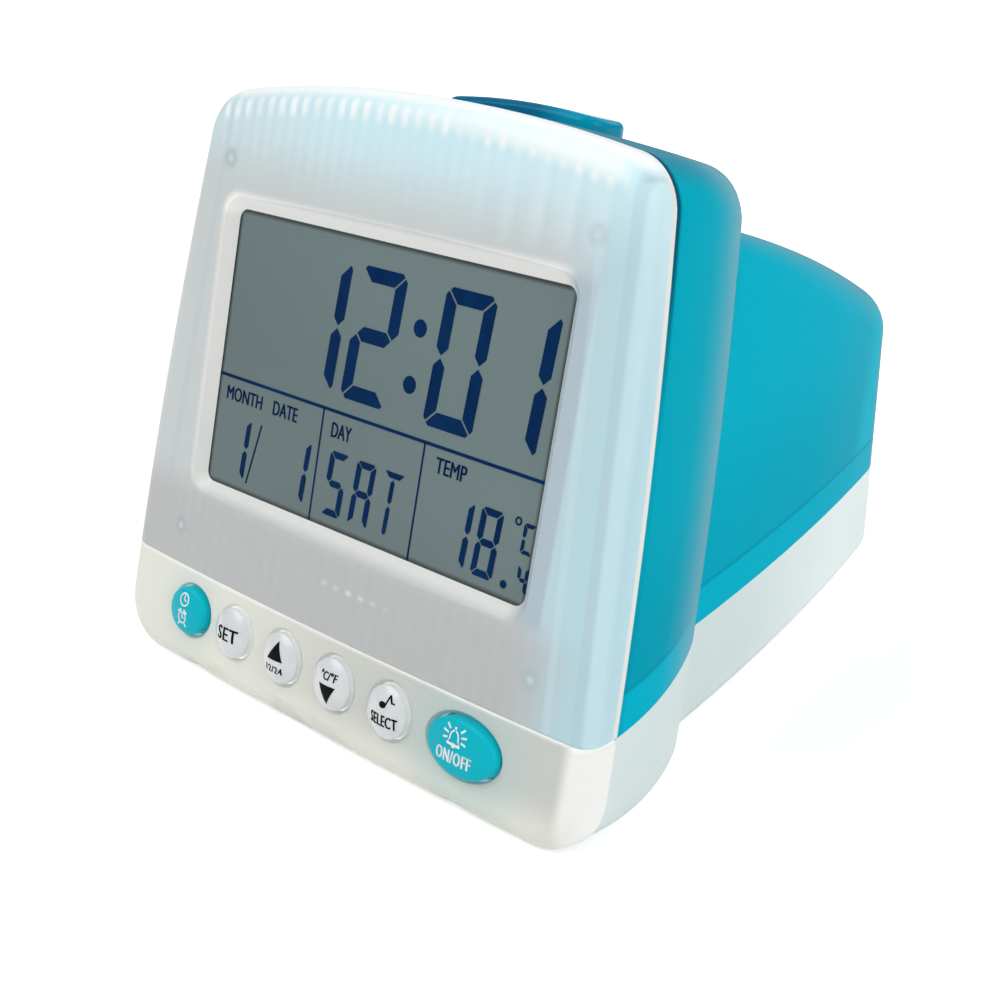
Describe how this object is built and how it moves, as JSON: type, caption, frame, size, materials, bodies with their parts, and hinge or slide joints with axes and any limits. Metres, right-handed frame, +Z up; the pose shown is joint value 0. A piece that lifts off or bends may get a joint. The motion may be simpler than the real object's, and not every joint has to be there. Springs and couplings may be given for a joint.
{
  "type": "digital alarm clock",
  "caption": "Desk alarm clock with a leaning frosted front, a wide display, a row of push buttons, a tapering two-tone case, a snooze bar and a sliding battery door.",
  "frame": {"origin": "point of the flat underside straight below the middle of the display", "axes": "+X to the right of someone reading the display, +Y to the back, +Z up"},
  "size_m": [0.0954, 0.1222, 0.0877],
  "materials": {
    "frosted_white_plastic": "frosted, see-through",
    "panel_white_plastic": "frosted, see-through",
    "plate_white_plastic": "satin",
    "display_glass": "polished, grey-green behind",
    "inner_white_plastic": "satin",
    "circuit_board": "satin",
    "black_plastic": "matt",
    "grey_rubber": "matt",
    "key_white_plastic": "satin, see-through",
    "key_teal_plastic": "satin, see-through",
    "frosted_teal_plastic": "frosted, see-through",
    "pale_white_plastic": "frosted, see-through",
    "cell_wrap": "gloss wrap",
    "plated_steel": "plated",
    "speaker_metal": "satin",
    "snooze_teal_plastic": "polished, see-through"
  },
  "bodies": {
    "case": {"front_bezel": "frosted_white_plastic", "button_panel": "panel_white_plastic", "striped_plate": "plate_white_plastic", "display_glass": "display_glass", "display_holder": "inner_white_plastic", "main_board": "circuit_board", "chip_cover": "black_plastic", "contact_strip_upper": "grey_rubber", "contact_strip_lower": "grey_rubber", "keypad_mat": "grey_rubber", "keypad_board": "circuit_board", "upper_housing": "frosted_teal_plastic", "lower_housing": "pale_white_plastic", "battery_bay": "inner_white_plastic", "cell_left": "cell_wrap", "cell_right": "cell_wrap", "contact_positive": "plated_steel", "contact_negative": "plated_steel", "contact_bridge": "plated_steel", "speaker": "speaker_metal", "snooze_switch": "black_plastic", "snooze_board": "circuit_board", "holder_screw_1": "plated_steel", "holder_screw_2": "plated_steel", "holder_screw_3": "plated_steel", "holder_screw_4": "plated_steel", "keypad_screw_1": "plated_steel", "snooze_screw_1": "plated_steel", "keypad_screw_2": "plated_steel", "snooze_screw_2": "plated_steel", "case_screw_1": "plated_steel", "case_screw_2": "plated_steel", "case_screw_3": "plated_steel", "case_screw_4": "plated_steel"},
    "set_button": {"set_button": "key_white_plastic"},
    "up_button": {"up_button": "key_white_plastic"},
    "down_button": {"down_button": "key_white_plastic"},
    "select_button": {"select_button": "key_white_plastic"},
    "mode_button": {"mode_button": "key_teal_plastic"},
    "alarm_button": {"alarm_button": "key_teal_plastic"},
    "snooze_button": {"snooze_button": "snooze_teal_plastic"},
    "battery_door": {"battery_door": "pale_white_plastic"}
  },
  "joints": [
    {"name": "set_press", "type": "slide", "parent": "case", "child": "set_button", "axis": [0, 0.9724, -0.2334], "range_m": [0, 0.0008], "stiffness_N_per_m": 500, "springref_m": -0.0006},
    {"name": "up_press", "type": "slide", "parent": "case", "child": "up_button", "axis": [0, 0.9724, -0.2334], "range_m": [0, 0.0008], "stiffness_N_per_m": 500, "springref_m": -0.0006},
    {"name": "down_press", "type": "slide", "parent": "case", "child": "down_button", "axis": [0, 0.9724, -0.2334], "range_m": [0, 0.0008], "stiffness_N_per_m": 500, "springref_m": -0.0006},
    {"name": "select_press", "type": "slide", "parent": "case", "child": "select_button", "axis": [0, 0.9724, -0.2334], "range_m": [0, 0.0008], "stiffness_N_per_m": 500, "springref_m": -0.0006},
    {"name": "mode_press", "type": "slide", "parent": "case", "child": "mode_button", "axis": [0, 0.9724, -0.2334], "range_m": [0, 0.0008], "stiffness_N_per_m": 500, "springref_m": -0.0006},
    {"name": "alarm_press", "type": "slide", "parent": "case", "child": "alarm_button", "axis": [0, 0.9724, -0.2334], "range_m": [0, 0.0008], "stiffness_N_per_m": 500, "springref_m": -0.0006},
    {"name": "snooze_press", "type": "slide", "parent": "case", "child": "snooze_button", "axis": [0, -0.2334, -0.9724], "range_m": [0, 0.0012], "stiffness_N_per_m": 600, "springref_m": -0.0008},
    {"name": "battery_door_slide", "type": "slide", "parent": "case", "child": "battery_door", "axis": [0, 1, 0], "range_m": [0, 0.07]}
  ]
}
